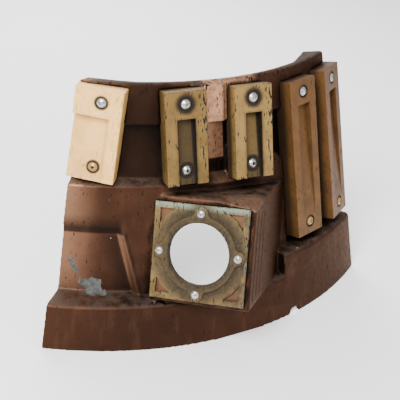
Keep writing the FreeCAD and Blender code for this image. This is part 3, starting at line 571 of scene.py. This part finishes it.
def bezel_paint(name, seat, soot_start, soot_end):
    """Sooted brass; the soot is full inside the first radius and gone at the second."""
    f = Finish(name)
    here = laid_on(f, seat)
    x, y, _ = f.split(here)
    fine = f.grain(here, 0.3, 4.0, 0.65)
    cloud = f.grain(here, 0.045, 3.0)
    out = f.sums("SQRT", f.sums("ADD", f.times(x, x), f.times(y, y)))
    paint = f.coat(f.ease(cloud, 0.32, 0.68), PLATE_BRASS, DARK_PLATE_BRASS)
    paint = f.coat(f.times(f.ease(fine, 0.5, 0.75), 0.3), paint, BRIGHT_PLATE_BRASS)
    ragged = f.sums("ADD", out, f.ease(cloud, 0.3, 0.7, -5.0, 5.0))
    soot_and_shade = f.times(f.ease(ragged, soot_end, soot_start), f.ease(fine, 0.2, 0.6, 0.62, 0.9))
    # painted shade over the right half, and the soot a little thinner at the far left
    soot_and_shade = f.either(f.times(soot_and_shade, f.ease(x, -62.0, -30.0, 0.82, 1.0)),
                    f.times(f.ease(x, 14.0, 56.0), f.ease(cloud, 0.3, 0.62, 0.25, 1.0), 0.66))
    paint = f.coat(soot_and_shade, paint, BEZEL_SOOT_AND_SHADE)
    top = f.times(f.ease(y, BEZEL_HALF - 11.0, BEZEL_HALF - 2.0), f.ease(fine, 0.3, 0.6, 0.3, 0.85),
                  f.ease(f.sums("ABSOLUTE", x), 8.0, 24.0, 0.25, 1.0))
    right = f.times(f.ease(x, BEZEL_HALF - 4.0, BEZEL_HALF - 1.0), f.ease(cloud, 0.45, 0.65), 0.4)
    top = f.either(top, right)
    paint = f.coat(top, paint, VERDIGRIS)
    border = f.either(f.ease(f.sums("ABSOLUTE", x), BEZEL_HALF - 17.0, BEZEL_HALF - 10.0),
                      f.ease(f.sums("ABSOLUTE", y), BEZEL_HALF - 17.0, BEZEL_HALF - 10.0))
    inner = f.times(f.ease(out, 55.0, 52.0), 0.8)
    flecks = f.grain(f.stretch(here, (0.42, 0.12, 0.42)), 1.0, 1.0)
    chipped = f.times(f.ease(flecks, 0.59, 0.61), f.either(border, inner),
                      f.ease(f.grain(here, 0.05, 2.0), 0.4, 0.55))
    paint = f.coat(chipped, paint, BARE_CHIP)
    f.give("Base Color", paint)
    spoiled = f.either(f.either(chipped, f.times(soot_and_shade, 0.8)), f.times(top, 0.8))
    f.give("Metallic", f.fade(spoiled, 0.45, 0.0))
    f.give("Roughness", f.fade(spoiled, f.ease(fine, 0.3, 0.7, 0.36, 0.5), 0.8))
    f.give("Normal", f.relief(chipped, 0.0003, -0.9, f.relief(f.grain(here, 0.7, 3.0), 0.00018, 0.5)))
    return f.material


refinish("bezel_plate", bezel_paint("bezel_plate_brass", box_seat, 60.0, 78.0))
refinish("bezel_ring", bezel_paint("bezel_ring_brass", box_seat, 44.0, 80.0))

# ---- fixings -------------------------------------------------------------------
# Domed steel screws through the blocks and cross-recess screws through the
# bezel, bare steel dulled by handling. Three low ones were painted over. Plain
# zinc-plated washers and nuts hold them all from behind.


def bare_metal(name, tone, stain, shine, scale, metallic=1.0, heads=()):
    """Dulled metal; a head given by its crown is dark in its recess and round its skirt."""
    f = Finish(name, metallic)
    at = f.place()
    head_shade = 0.0
    # painted shade: each head is darkened in its recess and round its skirt
    for crown, recess, skirt in heads:
        away = f.step("VectorMath", at, crown, operation="DISTANCE", out="Value")
        head_shade = f.either(head_shade, f.ease(away, recess * 1.1, recess * 0.8))
        rim = f.times(f.ease(away, skirt * 0.88, skirt), f.ease(away, skirt * 1.6, skirt * 1.5), 0.7)
        head_shade = f.either(head_shade, rim)
    worn = f.grain(at, scale, 4.0, 0.6)
    scratches = f.grain(f.stretch(at, (2600.0, 700.0, 900.0)), 1.0, 2.0)
    f.give("Base Color", f.coat(head_shade, f.coat(f.ease(worn, 0.58, 0.75), tone, stain), SOOT_AND_SHADE))
    f.give("Roughness", f.ease(worn, 0.3, 0.75, shine, shine + 0.3))
    if heads:
        f.give("Metallic", f.ease(head_shade, 0.0, 1.0, metallic, 0.0))
    f.give("Normal", f.relief(scratches, 0.00004, 0.5))
    return f.material


M8_CROWN, M6_CROWN = 0.0029, 0.0082            # crown's height over the face that the screw sits in
M8_HEAD, M6_HEAD = (0.0026, 0.0072), (0.0022, 0.0062)        # radius of the recess and of the skirt
SLOT_FLOOR = {"block_1": 0.0042, "block_2": 0.0084, "block_3": 0.0084}   # its depth under the low screw
bare_heads, painted_heads = [], []
for name, place, finish in SHORT_BLOCKS:
    seat, (high, low) = on_face(*place, SHORT_TOP), finish["screws"]
    bare_heads.append((seat @ Vector((high[0] / 1000, high[1] / 1000, M8_CROWN)), *M8_HEAD))
    low_heads = painted_heads if name == "block_1" else bare_heads
    low_crown = Vector((low[0] / 1000, low[1] / 1000, M8_CROWN - SLOT_FLOOR[name]))
    low_heads.append((seat @ low_crown, *M8_HEAD))
for _, place, _ in SLATS:
    seat, (high, low) = on_face(*place, SLAT_TOP), SLAT_SCREWS
    bare_heads.append((seat @ Vector((0, high[1] / 1000, M8_CROWN)), *M8_HEAD))
    painted_heads.append((seat @ Vector((0, low[1] / 1000, M8_CROWN)), *M8_HEAD))
for sx, sy in ((1, 0), (-1, 0), (0, 1), (0, -1)):
    middle = Vector((sx * PORT_SCREWS / 1000, sy * PORT_SCREWS / 1000, M6_CROWN))
    bare_heads.append((box_seat @ middle, *M6_HEAD))
STEEL, STEEL_STAIN = (0.42, 0.41, 0.385), (0.11, 0.09, 0.07)
BRASSED, BRASSED_STAIN = (0.36, 0.22, 0.085), (0.12, 0.065, 0.03)
ZINC, ZINC_STAIN = (0.50, 0.51, 0.52), (0.30, 0.30, 0.29)
steel = bare_metal("worn_steel", STEEL, STEEL_STAIN, 0.2, 200.0, heads=bare_heads)
painted = bare_metal("brassed_steel", BRASSED, BRASSED_STAIN, 0.34, 240.0, 0.7, painted_heads)
zinc = bare_metal("zinc_plate", ZINC, ZINC_STAIN, 0.35, 180.0)
for name in ("screws_long", "screws_short", "bezel_screws"):
    refinish(name, steel)
for name in ("screws_long_brassed", "screw_short_brassed"):
    refinish(name, painted)
for name in ("block_washers", "block_nuts", "bezel_washers", "bezel_nuts"):
    refinish(name, zinc)

# ---- floor, lights and camera -------------------------------------------------
# A plain white studio: one sheet of paper, a large soft window on the left, a
# weak fill from the right and a soft light behind.
bpy.ops.mesh.primitive_plane_add(size=8, location=(0, 0, 0))
floor = bpy.context.object
floor.name = "floor"
paper = Finish("paper", 0.0, 0.95)
paper.give("Base Color", (0.93, 0.93, 0.93))
floor.data.materials.append(paper.material)

world = bpy.data.worlds.new("studio")
bpy.context.scene.world = world
world.use_nodes = True
world.node_tree.nodes["Background"].inputs["Color"].default_value = (1, 1, 1, 1)
world.node_tree.nodes["Background"].inputs["Strength"].default_value = 1.05


def softbox(name, at, aim, size, power):
    light = bpy.data.lights.new(name, "AREA")
    light.size = size
    light.energy = power
    o = bpy.data.objects.new(name, light)
    bpy.context.scene.collection.objects.link(o)
    o.location = at
    o.rotation_euler = (Vector(aim) - Vector(at)).to_track_quat("-Z", "Y").to_euler()


softbox("window", (-1.35, -0.95, 1.75), (0, 0, 0.2), 1.0, 118)
softbox("fill", (0.9, -1.9, 1.2), (0, 0, 0.2), 1.4, 8)
softbox("back", (0.3, 1.5, 1.3), (0.05, 0.6, 0.0), 1.2, 40)

camera = bpy.data.cameras.new("camera")
camera.lens = 82.9
camera.sensor_width = 36
eye = bpy.data.objects.new("camera", camera)
bpy.context.scene.collection.objects.link(eye)
eye.location = (-0.684, -0.9624, 0.8423)
aim = Vector((-0.0367, 0.0267, 0.1903))
look = (aim - eye.location).to_track_quat("-Z", "Y").to_matrix().to_4x4()
eye.matrix_world = Matrix.Translation(eye.location) @ look @ Matrix.Rotation(math.radians(6.0), 4, "Z")
bpy.context.scene.camera = eye
